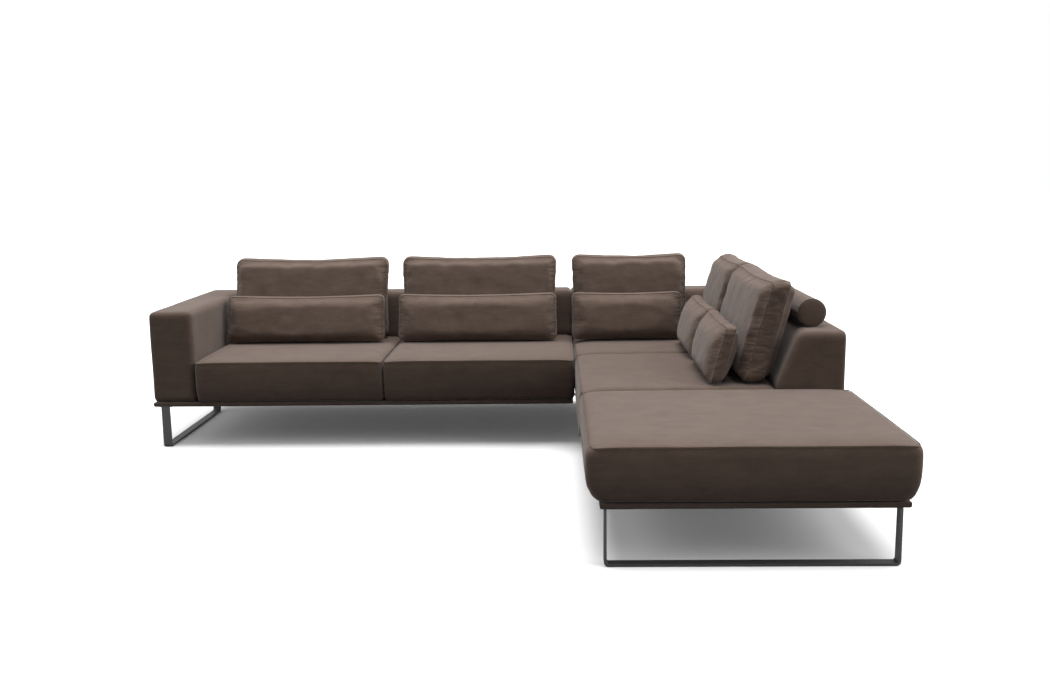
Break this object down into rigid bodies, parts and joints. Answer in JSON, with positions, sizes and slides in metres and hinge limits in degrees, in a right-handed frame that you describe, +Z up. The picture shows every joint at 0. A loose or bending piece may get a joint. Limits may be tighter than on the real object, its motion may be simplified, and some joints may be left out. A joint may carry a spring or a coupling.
{
  "type": "corner sofa",
  "caption": "Corner sofa with a left arm, low backs, a chaise end, loose back and lumbar cushions, a bolster roll and flat-bar sled legs.",
  "frame": {"origin": "middle of the overall footprint box, on the floor", "axes": "+X to the right along the rear backs, seen from the front; +Y to the rear; +Z up"},
  "size_m": [3.17, 2.69, 0.8594],
  "materials": {
    "upholstery_suede": "brown-taupe suede-look microfibre, soft nap",
    "cushion_suede": "brown-taupe suede-look microfibre, loose cushions",
    "wrapped_base": "base rails wrapped in the same microfibre",
    "dust_cloth": "black non-woven cloth",
    "elastic_webbing": "woven elastic webbing",
    "foam_core": null,
    "timber": "planed softwood, hidden",
    "powder_coated_steel": "anthracite powder coat, matt",
    "foot_plastic": "black moulded plastic",
    "tie_steel": "zinc-plated flat strip",
    "screw_steel": "zinc-plated pan-head screws"
  },
  "bodies": {
    "sofa": {"centre_seat_cover": "upholstery_suede", "centre_seat_foam": "foam_core", "centre_seat_frame": "timber", "chaise_seat_cover": "upholstery_suede", "chaise_seat_foam": "foam_core", "chaise_seat_frame": "timber", "corner_back_cover": "upholstery_suede", "corner_back_frame": "timber", "corner_seat_cover": "upholstery_suede", "corner_seat_foam": "foam_core", "corner_seat_frame": "timber", "front_module_tie": "tie_steel", "front_sled_leg": "powder_coated_steel", "left_arm_cover": "upholstery_suede", "left_arm_frame": "timber", "left_back_cover": "upholstery_suede", "left_back_frame": "timber", "left_base_front": "wrapped_base", "left_base_inner": "wrapped_base", "left_base_outer": "wrapped_base", "left_base_rear": "wrapped_base", "left_bearers": "timber", "left_dust_cover": "dust_cloth", "left_seat_cover": "upholstery_suede", "left_seat_foam": "foam_core", "left_seat_frame": "timber", "left_sled_leg": "powder_coated_steel", "left_webbing": "elastic_webbing", "leg_screws": "screw_steel", "middle_seat_cover": "upholstery_suede", "middle_seat_foam": "foam_core", "middle_seat_frame": "timber", "rear_module_tie": "tie_steel", "return_base_front": "wrapped_base", "return_base_left": "wrapped_base", "return_base_rear": "wrapped_base", "return_base_right": "wrapped_base", "return_bearers": "timber", "return_dust_cover": "dust_cloth", "return_webbing": "elastic_webbing", "side_back_cover": "upholstery_suede", "side_back_frame": "timber", "support_foot_corner_left": "foot_plastic", "support_foot_corner_right": "foot_plastic", "support_foot_left_rear": "foot_plastic", "support_foot_middle_left": "foot_plastic", "support_foot_middle_right": "foot_plastic", "tie_screws": "screw_steel"},
    "back_cushion_left": {"back_cushion_left": "cushion_suede"},
    "back_cushion_centre": {"back_cushion_centre": "cushion_suede"},
    "back_cushion_corner": {"back_cushion_corner": "cushion_suede"},
    "back_cushion_right_rear": {"back_cushion_right_rear": "cushion_suede"},
    "back_cushion_right_front": {"back_cushion_right_front": "cushion_suede"},
    "lumbar_cushion_left": {"lumbar_cushion_left": "cushion_suede"},
    "lumbar_cushion_centre": {"lumbar_cushion_centre": "cushion_suede"},
    "lumbar_cushion_corner": {"lumbar_cushion_corner": "cushion_suede"},
    "lumbar_cushion_right_rear": {"lumbar_cushion_right_rear": "cushion_suede"},
    "lumbar_cushion_right_front": {"lumbar_cushion_right_front": "cushion_suede"},
    "bolster_roll": {"bolster_roll": "cushion_suede"}
  },
  "joints": [
    {"name": "back_cushion_left_lift", "type": "slide", "parent": "sofa", "child": "back_cushion_left", "axis": [0, 0.2588, 0.9659], "range_m": [0, 0.35]},
    {"name": "back_cushion_centre_lift", "type": "slide", "parent": "sofa", "child": "back_cushion_centre", "axis": [0, 0.2588, 0.9659], "range_m": [0, 0.35]},
    {"name": "back_cushion_corner_lift", "type": "slide", "parent": "sofa", "child": "back_cushion_corner", "axis": [0, 0.2588, 0.9659], "range_m": [0, 0.35]},
    {"name": "back_cushion_right_rear_lift", "type": "slide", "parent": "sofa", "child": "back_cushion_right_rear", "axis": [0.2588, 0, 0.9659], "range_m": [0, 0.35]},
    {"name": "back_cushion_right_front_lift", "type": "slide", "parent": "sofa", "child": "back_cushion_right_front", "axis": [0.2588, 0, 0.9659], "range_m": [0, 0.35]},
    {"name": "lumbar_cushion_left_lift", "type": "slide", "parent": "sofa", "child": "lumbar_cushion_left", "axis": [0, 0, 1], "range_m": [0, 0.35]},
    {"name": "lumbar_cushion_centre_lift", "type": "slide", "parent": "sofa", "child": "lumbar_cushion_centre", "axis": [0, 0, 1], "range_m": [0, 0.35]},
    {"name": "lumbar_cushion_corner_lift", "type": "slide", "parent": "sofa", "child": "lumbar_cushion_corner", "axis": [0, 0, 1], "range_m": [0, 0.35]},
    {"name": "lumbar_cushion_right_rear_lift", "type": "slide", "parent": "sofa", "child": "lumbar_cushion_right_rear", "axis": [0, 0, 1], "range_m": [0, 0.35]},
    {"name": "lumbar_cushion_right_front_lift", "type": "slide", "parent": "sofa", "child": "lumbar_cushion_right_front", "axis": [0, 0, 1], "range_m": [0, 0.35]},
    {"name": "bolster_roll_lift", "type": "slide", "parent": "sofa", "child": "bolster_roll", "axis": [0.4226, 0, 0.9063], "range_m": [0, 0.35]}
  ]
}
